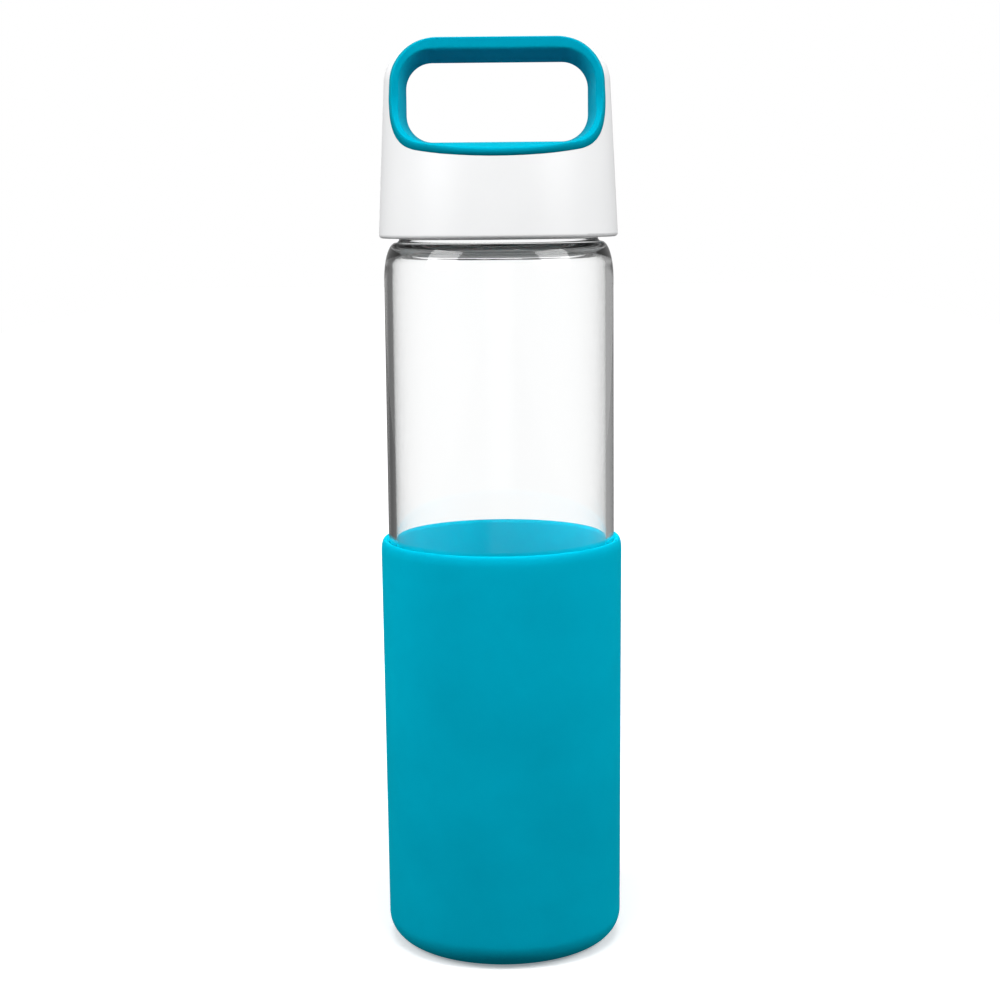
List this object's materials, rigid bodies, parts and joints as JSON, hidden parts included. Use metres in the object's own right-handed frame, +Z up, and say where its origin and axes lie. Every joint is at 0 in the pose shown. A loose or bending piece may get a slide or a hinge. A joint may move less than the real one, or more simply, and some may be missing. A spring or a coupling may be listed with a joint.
{
  "type": "glass water bottle",
  "caption": "Straight clear glass water bottle in a soft silicone sleeve, with a screw lid that carries a loop handle around a finger window.",
  "frame": {"origin": "centre of the sleeve's foot, on the surface the bottle stands on", "axes": "+Z up along the bottle's axis, towards the loop handle; X along the loop, across the finger window; the window runs through the lid along Y"},
  "size_m": [0.07, 0.07, 0.2613],
  "materials": {
    "sleeve_silicone": "matte silicone with a fine moulded grain",
    "clear_glass": "polished, clear and colourless",
    "seal_silicone": "satin translucent silicone",
    "insert_plastic": "satin moulded plastic",
    "lid_plastic": "satin white moulded plastic",
    "grip_soft_plastic": "satin soft-touch skin"
  },
  "bodies": {
    "sleeve": {"silicone_sleeve": "sleeve_silicone"},
    "bottle": {"glass_bottle": "clear_glass"},
    "seal": {"seal_ring": "seal_silicone"},
    "lid": {"lid_shell": "lid_plastic", "handle_grip": "grip_soft_plastic", "thread_insert": "insert_plastic"}
  },
  "joints": [
    {"name": "bottle_lift_out", "type": "slide", "parent": "sleeve", "child": "bottle", "axis": [0, 0, 1], "range_m": [0, 0.125]},
    {"name": "lid_rise", "type": "slide", "parent": "bottle", "child": "seal", "axis": [0, 0, 1], "range_m": [0, 0.0208]},
    {"name": "lid_unscrew", "type": "hinge", "parent": "seal", "child": "lid", "pos_m": [0, 0, 0.2064], "axis": [0, 0, 1], "range_deg": [0, 1485]}
  ],
  "couplings": [
    {"joint": "lid_rise", "follows": "lid_unscrew", "m_per_rad": 0.00079577}
  ]
}
